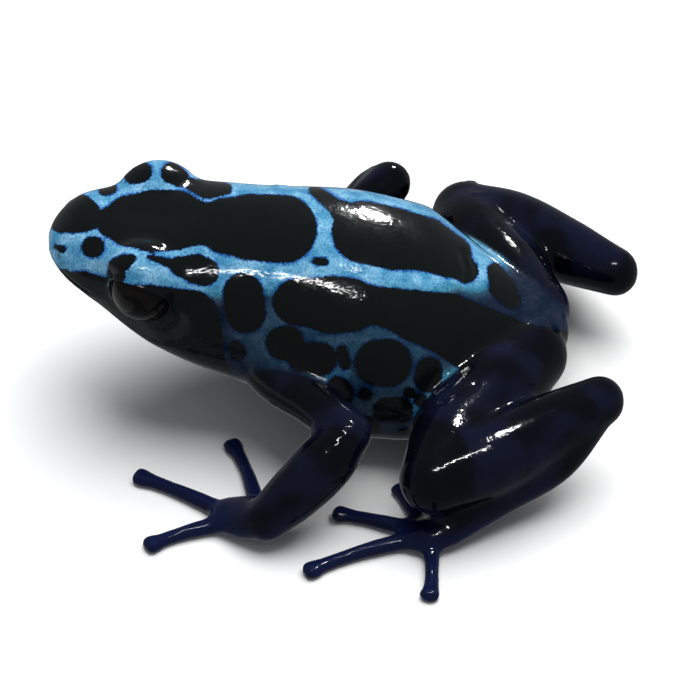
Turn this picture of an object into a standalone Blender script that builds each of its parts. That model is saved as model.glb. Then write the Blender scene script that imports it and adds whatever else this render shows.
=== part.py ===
"""A dyeing poison dart frog that sits with its head raised: the solids of a still, life-size model.

Everything is drawn in millimetres: +X runs to the snout, +Y to the frog's left and +Z up from the floor.
The last step puts the origin on the floor in the middle of the frog's box and turns millimetres into
metres.
"""

import bmesh
import bpy
import numpy as np
from mathutils import Matrix

MM = 0.001
GAP = 0.3
LEFT = 1
RIGHT = -1

# Body
SNOUT_X = 21.0
VENT_X = -21.2
SNOUT_ROUNDING = 3.2
VENT_ROUNDING = 3.4
SNOUT_SQUARENESS = 2.3
VENT_SQUARENESS = 2.0
BACK_SQUARENESS = 2.2
BELLY_SQUARENESS = 2.8
BODY_SIDES = 32
BODY_RINGS = 34
NECK_X = 6.4

# Each station: x, height of the back, of the widest line and of the belly, and the half width there
BODY_STATIONS = {
    "snout": (21.0, 15.6, 13.8, 12.9, 3.4),
    "nostril": (18.4, 16.6, 13.4, 11.6, 4.6),
    "eye": (13.0, 17.0, 12.1, 7.8, 7.3),
    "ear": (8.8, 17.1, 10.9, 5.6, 8.1),
    "neck": (5.0, 17.2, 9.9, 3.9, 8.3),
    "shoulder": (1.0, 17.2, 8.3, 2.3, 9.1),
    "middle": (-4.0, 16.6, 6.0, 0.6, 10.6),
    "flank": (-8.5, 15.2, 5.8, 0.6, 10.6),
    "loin": (-12.0, 13.3, 6.4, 1.2, 8.2),
    "sacrum": (-14.8, 11.4, 6.5, 1.9, 6.1),
    "hip": (-18.0, 9.6, 6.5, 3.0, 4.3),
    "vent": (-21.2, 8.3, 6.6, 4.2, 3.6),
}

# Eyes
EYE_PLACE = (12.5, 5.3, 13.9)
EYE_RADIUS = 2.75
EYE_SIDES = 20
EYE_RINGS = 11
LID_PLACE = (12.7, 4.75, 13.9)
LID_SIZE = (3.7, 3.4, 3.45)
RIM_PLACE = (12.9, 6.75, 13.6)
RIM_FACING = (0.3, 1.0, -0.1)
RIM_RADIUS = 2.6
RIM_THICKNESS = 0.45
RIM_SIDES = 24
RIM_TUBE_SIDES = 6

# Mouth, nostrils and ears
MOUTH_FRONT = (20.6, 13.8)
MOUTH_CORNER = (8.6, 9.7)
MOUTH_BEND = 2.4
MOUTH_DEPTH = 0.26
MOUTH_POINTS = 41
MOUTH_SIDES = 5
MOUTH_RINGS = 36
NOSTRIL_X = 19.75
NOSTRIL_ANGLE = 22
NOSTRIL_SIZE = (0.5, 0.4, 0.32)
EAR_PLACE = (8.2, 12.2)
EAR_SIZE = (1.15, 0.35, 1.25)

# Elbows, wrists, knees and heels of both sides: x, y, z
SHOULDER = {LEFT: (4.6, 4.2, 8.0), RIGHT: (3.0, -3.8, 5.0)}
ELBOW = {LEFT: (-4.5, 14.1, 7.7), RIGHT: (-5.3, -14.6, 8.6)}
WRIST = {LEFT: (1.6, 18.8, 2.2), RIGHT: (-1.0, -15.6, 2.2)}
KNEE = {LEFT: (-11.5, 16.0, 5.1), RIGHT: (-11.8, -15.1, 5.1)}
HEEL = {LEFT: (-23.9, 8.2, 7.0), RIGHT: (-24.5, -7.8, 6.4)}
ANKLE = {LEFT: (-12.6, 18.0, 1.3), RIGHT: (-12.6, -18.0, 1.3)}

# Each limb station: the share of the way to the next joint, how far the middle lies off the straight
# line in x, y and z, the half width and the half height
UPPER_ARM = (
    (0.0, 0.0, 0.0, 0.0, 2.3, 2.3),
    (0.35, 0.4, 0.5, -0.3, 2.1, 2.2),
    (0.7, 0.0, 0.3, 0.0, 1.85, 1.95),
    (1.0, 0.0, 0.0, 0.0, 1.9, 1.9),
)
FOREARM = (
    (0.0, 0.0, 0.0, 0.0, 1.5, 1.5),
    (0.35, -0.4, 0.2, 0.3, 2.4, 2.3),
    (0.7, -0.3, 0.2, 0.2, 2.25, 2.1),
    (1.0, 0.0, 0.0, 0.0, 1.9, 1.75),
)
THIGH = (
    (0.0, 0.0, 0.0, 0.0, 3.2, 3.2),
    (0.35, 0.4, -0.2, 0.3, 3.6, 3.6),
    (0.7, 0.6, -0.5, 0.4, 3.4, 3.4),
    (1.0, 0.0, 0.0, 0.0, 2.9, 2.9),
)
SHANK = (
    (0.0, 0.0, 0.0, 0.0, 2.3, 2.3),
    (0.32, 0.2, 0.5, 0.0, 3.2, 3.2),
    (0.68, 0.1, 0.3, 0.0, 2.7, 2.8),
    (1.0, 0.0, 0.0, 0.0, 2.05, 2.2),
)
TARSUS = (
    (0.0, 0.0, 0.0, 0.0, 1.5, 1.5),
    (0.35, -1.0, 0.6, -1.1, 1.5, 1.5),
    (0.7, -0.4, 0.5, -0.4, 1.4, 1.3),
    (1.0, 0.0, 0.0, 0.0, 1.4, 1.2),
)
HIP = (-18.0, 2.6, 6.2)

# The palm runs on from the wrist and the sole from the ankle: offsets, then half width and half height
PALM = ((0.0, 0.0, 0.0, 1.3, 1.2), (1.4, -0.9, -0.85, 2.2, 1.5), (3.3, -1.5, -1.3, 1.9, 1.05))
SOLE = ((0.0, 0.0, 0.0, 0.9, 0.8), (1.4, 0.2, -0.3, 1.8, 1.15), (2.6, 0.2, -0.5, 1.6, 0.95))

# Digits: where the tip reaches and where the root is sunk, ahead of the wrist or the ankle and out from
# it, and how far the middle bows to the side
FINGERS = {
    "finger_1": ((-3.2, -5.2), (0.0, -1.0), 0.3),
    "finger_2": ((4.0, -10.0), (1.0, -2.2), -0.4),
    "finger_3": ((11.2, -5.6), (3.0, -1.7), -0.2),
    "finger_4": ((9.3, 2.1), (3.2, -0.8), -0.3),
}
TOES = {
    "toe_1": ((-0.3, -4.1), (0.4, -0.6), 0.1),
    "toe_2": ((4.2, -5.4), (1.7, -0.8), 0.2),
    "toe_3": ((9.1, -2.0), (2.4, -0.4), -0.2),
    "toe_4": ((10.8, 4.6), (2.4, 0.4), -0.4),
    "toe_5": ((0.9, 6.4), (1.3, 0.6), 0.2),
}

# How finely a limb's piece and a digit are drawn, and how long their rounded ends are: sides, rings, share
LIMB_STYLE = (12, 8, 1.0)
DIGIT_STYLE = (8, 6, 0.55)

# A digit narrows from its root and widens into its disc: shares of the way, widths beside the half width
DIGIT_HALF_WIDTH = 0.66
DIGIT_SHARES = (0.0, 0.3, 0.62, 0.84, 0.95)
DIGIT_WIDTHS = (1.15, 1.05, 0.92, 1.0, 1.36)
ROOT_HEIGHT = 0.775
TIP_HEIGHT = 0.56
FLAT_DEPTH = 0.16

# A block that is larger than the frog, for flat cuts, and the angle from which an edge is drawn sharp
BLOCK_SIZE = 120.0
SHARP_ANGLE = 40

BLACK_BLUE = (0.006, 0.008, 0.018)
NAVY = (0.008, 0.014, 0.06)
EYE_BLACK = (0.004, 0.004, 0.005)


def smooth_through(places, values):
    """A curve through the given values that never swings past them, as a function of place."""
    order = np.argsort(places)
    x = np.asarray(places, float)[order]
    y = np.asarray(values, float)[order]
    step = np.diff(x)
    slope = np.diff(y) / step
    tangent = np.zeros(len(x))
    tangent[0] = slope[0]
    tangent[-1] = slope[-1]
    same_way = slope[:-1] * slope[1:] > 0
    steep = 2 * slope[:-1] * slope[1:] / np.where(same_way, slope[:-1] + slope[1:], 1)
    tangent[1:-1] = np.where(same_way, steep, 0)

    def curve(at):
        at = np.clip(at, x[0], x[-1])
        i = np.clip(np.searchsorted(x, at) - 1, 0, len(x) - 2)
        t = (at - x[i]) / step[i]
        rise = y[i] * (1 + 2 * t) * (1 - t) ** 2 + y[i + 1] * t * t * (3 - 2 * t)
        turn = step[i] * t * (1 - t) * (tangent[i] * (1 - t) - tangent[i + 1] * t)
        return rise + turn

    return curve


def station_curves(stations):
    """One smooth curve for each column of the stations after the first, which is the place."""
    table = np.array(list(stations), float)
    return [smooth_through(table[:, 0], column) for column in table[:, 1:].T]


BACK, WIDEST, BELLY, HALF_WIDTH = station_curves(BODY_STATIONS.values())


def end_rounding(x):
    """How far the section has opened at x: 0 at the snout and the vent, 1 between their roundings."""
    front = np.clip((SNOUT_X - x) / SNOUT_ROUNDING, 0, 1)
    rear = np.clip((x - VENT_X) / VENT_ROUNDING, 0, 1)
    k = SNOUT_SQUARENESS
    m = VENT_SQUARENESS
    return (1 - (1 - front) ** k) ** (1 / k) * (1 - (1 - rear) ** m) ** (1 / m)


def body_point(x, angle):
    """A point of the body's skin: angle 0 is the left side, a quarter turn the back, minus that the belly."""
    opened = end_rounding(x)
    c, s = np.cos(angle), np.sin(angle)
    power = 2 / np.where(s > 0, BACK_SQUARENESS, BELLY_SQUARENESS)
    across = np.sign(c) * np.abs(c) ** power
    above = np.sign(s) * np.abs(s) ** power
    reach = np.where(s > 0, BACK(x) - WIDEST(x), WIDEST(x) - BELLY(x))
    y = HALF_WIDTH(x) * opened * across
    z = WIDEST(x) + reach * opened * above
    return np.stack([x + 0 * across, y, z], -1)


def side_at_height(x, z):
    """How far out the body's left side is at x and height z."""
    reach = np.where(z > WIDEST(x), BACK(x) - WIDEST(x), WIDEST(x) - BELLY(x)) * end_rounding(x)
    share = np.clip(np.abs(z - WIDEST(x)) / reach, 0, 1)
    n = np.where(z > WIDEST(x), BACK_SQUARENESS, BELLY_SQUARENESS)
    return HALF_WIDTH(x) * end_rounding(x) * (1 - share**n) ** (1 / n)


def grown(rings, start, end, distance):
    """The same rings and end points moved outwards along the surface's normals."""
    along = np.gradient(rings, axis=0)
    around = np.roll(rings, -1, axis=1) - np.roll(rings, 1, axis=1)
    normal = np.cross(around, along)
    normal /= np.linalg.norm(normal, axis=2, keepdims=True)
    outward = rings - rings.mean(axis=1, keepdims=True)
    normal *= np.sign((normal * outward).sum(axis=(1, 2), keepdims=True))
    first = rings[0].mean(axis=0)
    last = rings[-1].mean(axis=0)
    start_way = (start - first) / np.linalg.norm(start - first)
    end_way = (end - last) / np.linalg.norm(end - last)
    return rings + distance * normal, start + distance * start_way, end + distance * end_way


def new_object(name, mesh):
    """A mesh object in the scene."""
    thing = bpy.data.objects.new(name, mesh)
    bpy.context.scene.collection.objects.link(thing)
    return thing


def skin_over(name, rings, start, end):
    """A closed object over rings of points, with a point to close each end."""
    count, sides = rings.shape[:2]
    points = [*rings.reshape(-1, 3), start, end]
    faces = []
    for i in range(count - 1):
        for j in range(sides):
            k = (j + 1) % sides
            faces.append((i * sides + j, i * sides + k, (i + 1) * sides + k, (i + 1) * sides + j))
    for j in range(sides):
        k = (j + 1) % sides
        faces.append((k, j, count * sides))
        faces.append(((count - 1) * sides + j, (count - 1) * sides + k, count * sides + 1))
    mesh = bpy.data.meshes.new(name)
    mesh.from_pydata([tuple(p) for p in points], [], faces)
    point_outwards(mesh)
    return new_object(name, mesh)


def point_outwards(mesh):
    """Splits a closed mesh into triangles and turns every face to the outside."""
    work = bmesh.new()
    work.from_mesh(mesh)
    bmesh.ops.triangulate(work, faces=work.faces)
    bmesh.ops.recalc_face_normals(work, faces=work.faces)
    work.to_mesh(mesh)
    work.free()


def body(name, grow=0.0):
    """The whole body from snout to vent, or a copy of it that is larger all round."""
    turn = np.linspace(0, np.pi, BODY_RINGS + 2)[1:-1]
    middle = (SNOUT_X + VENT_X) / 2
    x = middle + (SNOUT_X - VENT_X) / 2 * np.cos(turn)
    angle = np.linspace(0, 2 * np.pi, BODY_SIDES, endpoint=False)
    rings = body_point(x[:, None], angle[None, :])
    start = np.array([SNOUT_X, 0, WIDEST(SNOUT_X)])
    end = np.array([VENT_X, 0, WIDEST(VENT_X)])
    if grow:
        rings, start, end = grown(rings, start, end, grow)
    return skin_over(name, rings, start, end)


def ring(name, middle, facing, radius, thickness):
    """A ring of round section, by its middle, the way it faces, its radius and its thickness."""
    sides = RIM_SIDES
    tube = RIM_TUBE_SIDES
    facing = np.array(facing, float) / np.linalg.norm(facing)
    across = np.cross(facing, [0, 0, 1])
    across /= np.linalg.norm(across)
    upright = np.cross(across, facing)
    turn = np.linspace(0, 2 * np.pi, sides, endpoint=False)[:, None, None]
    roll = np.linspace(0, 2 * np.pi, tube, endpoint=False)[None, :, None]
    outward = across * np.cos(turn) + upright * np.sin(turn)
    points = np.array(middle) + outward * (radius + thickness * np.cos(roll))
    points += facing * thickness * np.sin(roll)
    faces = []
    for i in range(sides):
        for j in range(tube):
            k, m = (i + 1) % sides, (j + 1) % tube
            faces.append((i * tube + j, i * tube + m, k * tube + m, k * tube + j))
    mesh = bpy.data.meshes.new(name)
    mesh.from_pydata([tuple(p) for p in points.reshape(-1, 3)], [], faces)
    point_outwards(mesh)
    return new_object(name, mesh)


def ball(name, place, size, sides, rings):
    """An ellipsoid, by its middle and its three half sizes."""
    turn = np.linspace(0, np.pi, rings + 2)[1:-1]
    angle = np.linspace(0, 2 * np.pi, sides, endpoint=False)
    width = np.sin(turn)[:, None]
    unit = np.stack([width * np.cos(angle), width * np.sin(angle), np.cos(turn)[:, None] + 0 * angle], -1)
    place, size = np.array(place, float), np.array(size, float)
    pole = np.array([0, 0, size[2]])
    return skin_over(name, place + size * unit, place + pole, place - pole)


def loft(name, stations, sides, rings, blunt=1.0, grow=0.0):
    """A limb or digit: an oval section carried through its stations, with a rounded end at both ends.

    blunt is the length of an end's rounding as a share of its radius.
    """
    table = np.array(stations, float)
    steps = np.linalg.norm(np.diff(table[:, :3], axis=0), axis=1)
    run = np.concatenate([[0], np.cumsum(steps)])
    curves = [smooth_through(run, column) for column in table.T]
    at = np.linspace(0, run[-1], rings)
    x, y, z, wide, high = (curve(at) for curve in curves)
    middle = np.stack([x, y, z], -1)
    way = np.gradient(middle, axis=0)
    way /= np.linalg.norm(way, axis=1, keepdims=True)
    bend = np.linspace(0, np.pi / 2, 4)
    out = np.sin(bend)[1:-1]
    shrink = np.cos(bend)[1:-1]
    first = blunt * (wide[0] + high[0]) / 2
    last = blunt * (wide[-1] + high[-1]) / 2
    middle = np.concatenate(
        [
            middle[0] - way[0] * first * out[::-1, None],
            middle,
            middle[-1] + way[-1] * last * out[:, None],
        ]
    )
    start = middle[len(out)] - way[0] * first
    end = middle[-len(out) - 1] + way[-1] * last
    way = np.concatenate([np.repeat(way[:1], len(out), 0), way, np.repeat(way[-1:], len(out), 0)])
    wide = np.concatenate([wide[0] * shrink[::-1], wide, wide[-1] * shrink])
    high = np.concatenate([high[0] * shrink[::-1], high, high[-1] * shrink])
    across = np.cross(way, [0, 0, 1])
    across /= np.linalg.norm(across, axis=1, keepdims=True)
    upright = np.cross(across, way)
    angle = np.linspace(0, 2 * np.pi, sides, endpoint=False)[:, None]
    ovals = (
        middle[:, None]
        + across[:, None] * wide[:, None, None] * np.cos(angle)
        + upright[:, None] * high[:, None, None] * np.sin(angle)
    )
    if grow:
        ovals, start, end = grown(ovals, start, end, grow)
    return skin_over(name, ovals, start, end)


def boolean(target, others, operation):
    """Joins or cuts the target with closed objects, applies it and removes them."""
    group = bpy.data.collections.new("tools")
    bpy.context.scene.collection.children.link(group)
    for other in others:
        for home in list(other.users_collection):
            home.objects.unlink(other)
        group.objects.link(other)
    modifier = target.modifiers.new(operation.lower(), "BOOLEAN")
    modifier.operation = operation
    modifier.operand_type = "COLLECTION"
    modifier.collection = group
    modifier.solver = "EXACT"
    graph = bpy.context.evaluated_depsgraph_get()
    result = bpy.data.meshes.new_from_object(target.evaluated_get(graph))
    target.modifiers.clear()
    target.data = result
    for other in others:
        bpy.data.objects.remove(other)
    bpy.data.collections.remove(group)


def keep_ahead(target, point, way, gap=GAP / 2):
    """Cuts off what lies behind a plane through the point, and the gap ahead of it."""
    way = np.array(way, float) / np.linalg.norm(way)
    centre = np.array(point, float) + way * (gap - BLOCK_SIZE / 2)
    side = np.cross(way, [0.31, 0.17, 0.94])
    side /= np.linalg.norm(side)
    turned = Matrix(np.stack([way, side, np.cross(way, side)], -1).tolist()).to_4x4()
    turned.translation = centre
    mesh = bpy.data.meshes.new("block")
    work = bmesh.new()
    bmesh.ops.create_cube(work, size=BLOCK_SIZE, matrix=turned)
    bmesh.ops.recalc_face_normals(work, faces=work.faces)
    work.to_mesh(mesh)
    work.free()
    boolean(target, [new_object("block", mesh)], "DIFFERENCE")


def keep_behind(target, point, way):
    """Cuts off what lies ahead of a plane through the point, and the gap behind it."""
    keep_ahead(target, point, -np.array(way, float))


def keep_largest(target):
    """Keeps only the largest closed surface of the object."""
    work = bmesh.new()
    work.from_mesh(target.data)
    left = set(work.faces)
    pieces = []
    while left:
        piece = set()
        edge_of_piece = [left.pop()]
        while edge_of_piece:
            face = edge_of_piece.pop()
            piece.add(face)
            for edge in face.edges:
                for other in edge.link_faces if len(edge.link_faces) == 2 else ():
                    if other in left:
                        left.remove(other)
                        edge_of_piece.append(other)
        pieces.append(piece)
    pieces.sort(key=lambda piece: sum(face.calc_area() for face in piece))
    loose = [face for piece in pieces[:-1] for face in piece]
    bmesh.ops.delete(work, geom=loose, context="FACES")
    work.to_mesh(target.data)
    work.free()


def mirrored(point, side):
    """A left point, or its mirror image on the right."""
    return (point[0], point[1] * side, point[2])


def finish(thing, colour, roughness=0.25, metallic=0.0):
    """Cleans a node, shades it smooth and gives it its own material."""
    keep_largest(thing)
    point_outwards(thing.data)
    thing.data.shade_smooth()
    thing.data.set_sharp_from_angle(angle=np.radians(SHARP_ANGLE))
    material = bpy.data.materials.new(thing.name)
    material.use_nodes = True
    shader = material.node_tree.nodes["Principled BSDF"]
    shader.inputs["Base Color"].default_value = (*colour, 1)
    shader.inputs["Roughness"].default_value = roughness
    shader.inputs["Metallic"].default_value = metallic
    thing.data.materials.clear()
    thing.data.materials.append(material)


def lids(side):
    """The bulge of the lids round one eye, and the rim of their opening."""
    bulge = ball("bulge", mirrored(LID_PLACE, side), LID_SIZE, EYE_SIDES, EYE_RINGS + 1)
    rim = ring("rim", mirrored(RIM_PLACE, side), mirrored(RIM_FACING, side), RIM_RADIUS, RIM_THICKNESS)
    return [bulge, rim]


def mouth_line():
    """A thin tube along the line of the mouth, from one corner round the snout to the other."""
    bend = np.linspace(-1, 1, MOUTH_POINTS)
    inward = 1 - np.abs(bend) ** MOUTH_BEND
    x = MOUTH_CORNER[0] + (MOUTH_FRONT[0] - MOUTH_CORNER[0]) * inward
    share = (x - MOUTH_CORNER[0]) / (MOUTH_FRONT[0] - MOUTH_CORNER[0])
    z = MOUTH_CORNER[1] + (MOUTH_FRONT[1] - MOUTH_CORNER[1]) * share
    y = np.sign(bend) * side_at_height(x, z)
    stations = [(*p, MOUTH_DEPTH, MOUTH_DEPTH) for p in zip(x, y, z)]
    return loft("mouth", stations, MOUTH_SIDES, MOUTH_RINGS)


def head():
    """The head, with its lids, eye sockets, mouth line, nostrils and ears."""
    thing = body("head")
    ears = []
    for side in (LEFT, RIGHT):
        x, z = EAR_PLACE
        ears.append(ball("ear", (x, side * float(side_at_height(x, z)), z), EAR_SIZE, sides=12, rings=6))
    boolean(thing, [*lids(LEFT), *lids(RIGHT), *ears], "UNION")
    sockets = [
        ball("socket", mirrored(EYE_PLACE, side), [EYE_RADIUS + GAP] * 3, sides=EYE_SIDES, rings=EYE_RINGS)
        for side in (LEFT, RIGHT)
    ]
    pit = body_point(NOSTRIL_X, np.radians(NOSTRIL_ANGLE))
    pits = [mirrored(pit, side) for side in (LEFT, RIGHT)]
    nostrils = [ball("nostril", middle, NOSTRIL_SIZE, sides=10, rings=6) for middle in pits]
    boolean(thing, [*sockets, *nostrils, mouth_line()], "DIFFERENCE")
    keep_ahead(thing, (NECK_X, 0, 0), (1, 0, 0))
    finish(thing, BLACK_BLUE)
    return thing


def torso():
    """The trunk behind the neck."""
    thing = body("torso")
    keep_behind(thing, (NECK_X, 0, 0), (1, 0, 0))
    finish(thing, BLACK_BLUE)
    return thing


def eye(side, name):
    """One eyeball, which fills its socket but for the gap."""
    thing = ball(name, mirrored(EYE_PLACE, side), [EYE_RADIUS] * 3, EYE_SIDES, EYE_RINGS)
    finish(thing, EYE_BLACK, roughness=0.05)
    return thing


def along(start, end, shape, side):
    """Stations from start to end, from a limb's shape: shares, offsets, half widths and half heights."""
    start, end = np.array(start, float), np.array(end, float)
    stations = []
    for share, x, y, z, wide, high in shape:
        middle = start + share * (end - start) + np.array([x, y * side, z])
        stations.append((*middle, wide, high))
    return stations


def onward(start, shape, side):
    """Stations of a palm or sole that runs on from a joint."""
    return [(start[0] + x, start[1] + y * side, start[2] + z, wide, high) for x, y, z, wide, high in shape]


def on_floor(start, tip, root, bow, side):
    """Stations of a digit that lies on the floor, from its sunken root to the blunt disc at its tip."""
    tip, root = np.array(tip, float), np.array(root, float)
    way = tip - root
    aside = np.array([-way[1], way[0]]) / np.linalg.norm(way)
    stations = []
    for share, width in zip(DIGIT_SHARES, DIGIT_WIDTHS):
        ahead, out = root + way * share + aside * bow * 4 * share * (1 - share)
        height = ROOT_HEIGHT + (TIP_HEIGHT - ROOT_HEIGHT) * share
        middle = (start[0] + ahead, start[1] + out * side, height - FLAT_DEPTH)
        stations.append((*middle, DIGIT_HALF_WIDTH * width, height))
    return stations


def arm_pieces(side):
    """The stations of an arm's three pieces, in the order in which one carries the next."""
    return {
        "upper_arm": along(SHOULDER[side], ELBOW[side], UPPER_ARM, side),
        "forearm": along(ELBOW[side], WRIST[side], FOREARM, side),
        "hand": onward(WRIST[side], PALM, side),
    }


def leg_pieces(side):
    """The stations of a leg's four pieces, in the order in which one carries the next."""
    return {
        "thigh": along(mirrored(HIP, side), KNEE[side], THIGH, side),
        "shank": along(KNEE[side], HEEL[side], SHANK, side),
        "tarsus": along(HEEL[side], ANKLE[side], TARSUS, side),
        "foot": onward(ANKLE[side], SOLE, side),
    }


def digits(start, shapes, side):
    """The stations of all digits of a hand or a foot, by name."""
    return {name: on_floor(start, *shape, side) for name, shape in shapes.items()}


def limb(pieces, tips, suffix):
    """One limb and its digits, each cut clear of the body and of the pieces before it."""
    to_draw = [(name, stations, LIMB_STYLE) for name, stations in pieces.items()]
    to_draw += [(name, stations, DIGIT_STYLE) for name, stations in tips.items()]
    made = []
    for i, (name, stations, style) in enumerate(to_draw):
        thing = loft(f"{name}_{suffix}", stations, *style)
        keep_ahead(thing, (0, 0, 0), (0, 0, 1), gap=0)
        cutters = [body("grown_body", GAP)]
        cutters += [loft("grown_piece", before, *look, grow=GAP) for _, before, look in to_draw[:i]]
        boolean(thing, cutters, "DIFFERENCE")
        finish(thing, NAVY if style == DIGIT_STYLE else BLACK_BLUE)
        made.append(thing)
    return made


def limbs(side, suffix):
    """Both limbs of one side."""
    arm = limb(arm_pieces(side), digits(WRIST[side], FINGERS, side), suffix)
    leg = limb(leg_pieces(side), digits(ANKLE[side], TOES, side), suffix)
    return arm + leg


def to_metres(things):
    """Puts the origin on the floor in the middle of the frog's box, and turns millimetres into metres."""
    points = np.array([vertex.co for thing in things for vertex in thing.data.vertices])
    middle = (points.min(axis=0) + points.max(axis=0)) / 2
    print("middle of the box in drawing millimetres:", middle.round(3))
    print("size in millimetres:", np.ptp(points, axis=0).round(2))
    for thing in things:
        thing.data.transform(Matrix.Diagonal((MM, MM, MM, 1)))
        thing.location = (-middle[0] * MM, -middle[1] * MM, 0)


def main():
    for thing in list(bpy.data.objects):
        bpy.data.objects.remove(thing)
    nodes = [head(), torso()]
    nodes += limbs(LEFT, "left")
    nodes += limbs(RIGHT, "right")
    nodes += [eye(LEFT, "eye_left"), eye(RIGHT, "eye_right")]
    to_metres(nodes)


main()
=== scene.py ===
# %% [markdown]
# This lesson dresses a still model of a small poison dart frog that sits with its head raised. The solids
# of the model are loaded first as a fixed frame: every piece made here has to sit where they are. The
# frog is drawn in millimetres, with +X to the snout, +Y to its left and +Z up, because sizes of a small
# animal read best that way, and it is turned into metres only when a mesh is finished.

import bmesh
import bpy
import numpy as np
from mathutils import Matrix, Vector
from mathutils.bvhtree import BVHTree
from mathutils.kdtree import KDTree


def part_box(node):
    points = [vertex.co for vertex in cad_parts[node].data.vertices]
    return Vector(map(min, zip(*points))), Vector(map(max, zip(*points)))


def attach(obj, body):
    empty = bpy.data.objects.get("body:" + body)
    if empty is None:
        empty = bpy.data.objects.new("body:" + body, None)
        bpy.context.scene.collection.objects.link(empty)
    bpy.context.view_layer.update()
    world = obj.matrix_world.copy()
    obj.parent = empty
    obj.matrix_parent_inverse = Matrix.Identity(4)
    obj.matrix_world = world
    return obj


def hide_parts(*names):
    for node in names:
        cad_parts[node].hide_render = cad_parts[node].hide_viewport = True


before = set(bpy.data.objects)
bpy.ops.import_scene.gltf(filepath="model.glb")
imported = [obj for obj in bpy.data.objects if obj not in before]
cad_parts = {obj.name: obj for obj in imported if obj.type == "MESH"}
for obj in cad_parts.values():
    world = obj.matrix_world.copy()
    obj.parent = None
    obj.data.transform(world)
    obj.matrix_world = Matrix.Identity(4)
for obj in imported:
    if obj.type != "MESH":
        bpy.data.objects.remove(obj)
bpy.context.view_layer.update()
MM = 0.001
LEFT, RIGHT = 1, -1
EYE_PLACE = np.array([12.5, 5.3, 13.9])
EYE_RADIUS = 2.75


def middle_of(node):
    """The middle of a node's box, in millimetres."""
    low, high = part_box(node)
    return (np.array(low) + np.array(high)) / 2 / MM


SHIFT = middle_of("eye_left") - EYE_PLACE
SHIFT[1] = (middle_of("eye_left")[1] + middle_of("eye_right")[1]) / 2
SHIFT[2] = 0
print("the drawing is moved by", SHIFT.round(3), "mm")

# %% [markdown]
# The camera comes before the shapes, because the markings are placed by where they are seen. A long
# lens looks down at the frog's left side from about 44 degrees. Its place was found by lining up the
# snout, the knees, the heels and the digits, which lie on the floor, with the picture. An empty camera
# could also be turned by hand, but a direction and a distance are easier to read and to change.

# %% Camera
FRAME_PIXELS = 700
CAMERA_TURN = np.radians(-5.085)
CAMERA_RISE = np.radians(44.01)
CAMERA_DISTANCE = 300.0
CAMERA_TARGET = np.array([-3.604, 3.0, 5.963])
LENS_IN_PIXELS = 3707.6
SENSOR_MM = 36.0

to_camera = np.array(
    [
        np.sin(CAMERA_TURN) * np.cos(CAMERA_RISE),
        np.cos(CAMERA_TURN) * np.cos(CAMERA_RISE),
        np.sin(CAMERA_RISE),
    ]
)
camera_place = CAMERA_TARGET + CAMERA_DISTANCE * to_camera
camera_right = np.cross(-to_camera, [0, 0, 1])
camera_right /= np.linalg.norm(camera_right)
camera_up = np.cross(camera_right, -to_camera)

camera = bpy.data.objects.new("camera", bpy.data.cameras.new("camera"))
bpy.context.scene.collection.objects.link(camera)
camera.location = (camera_place + SHIFT) * MM
camera.rotation_euler = Vector(-to_camera).to_track_quat("-Z", "Y").to_euler()
camera.data.sensor_width = SENSOR_MM
camera.data.lens = LENS_IN_PIXELS * SENSOR_MM / FRAME_PIXELS
camera.data.clip_start = 0.01
bpy.context.scene.camera = camera
print("lens", round(camera.data.lens, 1), "mm")


def seen_at(points):
    """Where the camera sees points of the drawing: x and y in the picture's pixels."""
    away = points - camera_place
    depth = away @ -to_camera
    x = FRAME_PIXELS / 2 + LENS_IN_PIXELS * (away @ camera_right) / depth
    y = FRAME_PIXELS / 2 - LENS_IN_PIXELS * (away @ camera_up) / depth
    return np.stack([x, y], -1)


PIXELS_PER_MM = LENS_IN_PIXELS / CAMERA_DISTANCE

# %% [markdown]
# The trunk and the head are one skin. It is a surface of two parameters: x runs from the snout to the
# vent, and an angle runs round the section. Each section is a superellipse, which is an oval with fuller
# corners, and its height and width are read from smooth curves through a few named stations. Sculpting
# would give the same shape, but numbers can be set against the solids and changed one at a time.

# %% Curves through stations
SNOUT_X, VENT_X = 21.0, -21.2
SNOUT_ROUNDING, VENT_ROUNDING = 3.2, 3.4
SNOUT_SQUARENESS, VENT_SQUARENESS = 2.3, 2.0
BACK_SQUARENESS, BELLY_SQUARENESS = 2.2, 2.8

# Each station: x, height of the back, of the widest line and of the belly, and the half width there
BODY_STATIONS = {
    "snout": (21.0, 15.6, 13.8, 12.9, 3.4),
    "nostril": (18.4, 16.6, 13.4, 11.6, 4.6),
    "eye": (13.0, 17.0, 12.1, 7.8, 7.3),
    "ear": (8.8, 17.1, 10.9, 5.6, 8.1),
    "neck": (5.0, 17.2, 9.9, 3.9, 8.3),
    "shoulder": (1.0, 17.2, 8.3, 2.3, 9.1),
    "middle": (-4.0, 16.6, 6.0, 0.6, 10.6),
    "flank": (-8.5, 15.2, 5.8, 0.6, 10.6),
    "loin": (-12.0, 13.3, 6.4, 1.2, 8.2),
    "sacrum": (-14.8, 11.4, 6.5, 1.9, 6.1),
    "hip": (-18.0, 9.6, 6.5, 3.0, 4.3),
    "vent": (-21.2, 8.3, 6.6, 4.2, 3.6),
}


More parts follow.
